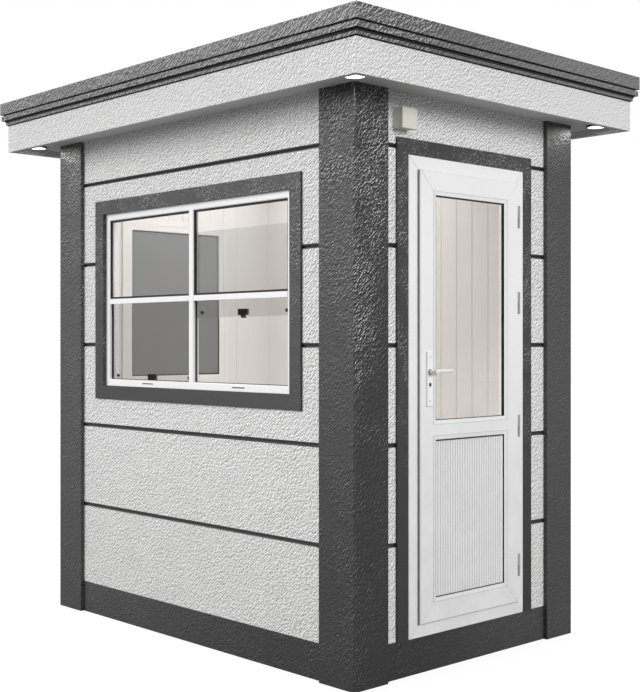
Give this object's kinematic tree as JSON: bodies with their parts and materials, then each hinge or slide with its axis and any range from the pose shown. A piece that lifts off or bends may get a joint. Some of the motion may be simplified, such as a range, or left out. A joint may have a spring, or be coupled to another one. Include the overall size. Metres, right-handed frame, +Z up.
{
  "type": "modular cabin",
  "caption": "Small modular cabin with rendered wall panels, dark corner posts, flat roof with stepped cornice, window with sliding sashes and a part-glazed door with lever handle.",
  "frame": {"origin": "middle of the footprint, on the ground", "axes": "+Z up, the window wall faces -Y and the door wall faces +X"},
  "size_m": [2.603, 1.953, 2.654],
  "materials": {
    "dark_render": "rough trowelled render, dark grey",
    "white_render": "rough trowelled render, white",
    "floor_board": "matt",
    "lining_board": "satin",
    "white_plastic": "smooth satin",
    "white_metal": "powder coated",
    "grey_metal": "powder coated",
    "black_rubber": "matt",
    "black_plastic": "satin",
    "clear_glass": "clear",
    "grey_glass": "frosted grey",
    "roof_membrane": "matt",
    "lamp_lens": "diffuse lit lens",
    "cream_plastic": "satin"
  },
  "bodies": {
    "cabin": {"corner_posts": "dark_render", "plinth": "dark_render", "floor": "floor_board", "front_wall": "dark_render", "back_wall": "dark_render", "left_wall": "dark_render", "right_wall_near": "dark_render", "right_wall_far": "dark_render", "right_wall_head": "dark_render", "front_cladding": "white_render", "back_cladding": "white_render", "left_cladding": "white_render", "right_cladding": "white_render", "wall_lining": "lining_board", "window_trim": "dark_render", "window_frame": "white_plastic", "window_gasket": "black_rubber", "window_panes": "clear_glass", "left_sash": "clear_glass", "right_sash": "clear_glass", "sash_latches": "black_plastic", "side_trim": "dark_render", "side_frame": "white_plastic", "side_gasket": "black_rubber", "side_pane": "grey_glass", "casings": "white_plastic", "door_trim": "dark_render", "door_frame": "white_plastic", "frame_hinges": "grey_metal", "roof_panel": "white_render", "fascia": "white_render", "lower_cornice": "dark_render", "middle_cornice": "dark_render", "top_cornice": "dark_render", "roof_sheet": "roof_membrane", "lamp_rings": "black_plastic", "lamp_lenses": "lamp_lens", "wall_box": "cream_plastic"},
    "door": {"door_leaf": "white_plastic", "door_glass": "clear_glass", "door_panel": "white_plastic", "door_gasket": "black_rubber", "handle_plates": "white_metal", "leaf_hinges": "grey_metal"},
    "lever": {"lever_handle": "white_metal"}
  },
  "joints": [
    {"name": "door_swing", "type": "hinge", "parent": "cabin", "child": "door", "pos_m": [1.078, 0.327, 0], "axis": [0, 0, 1], "range_deg": [0, 110]},
    {"name": "lever_turn", "type": "hinge", "parent": "door", "child": "lever", "pos_m": [1.05, -0.3075, 1.266], "axis": [-1, 0, 0], "range_deg": [0, 40], "stiffness_Nm_per_rad": 1.5, "springref_deg": -17.19}
  ]
}
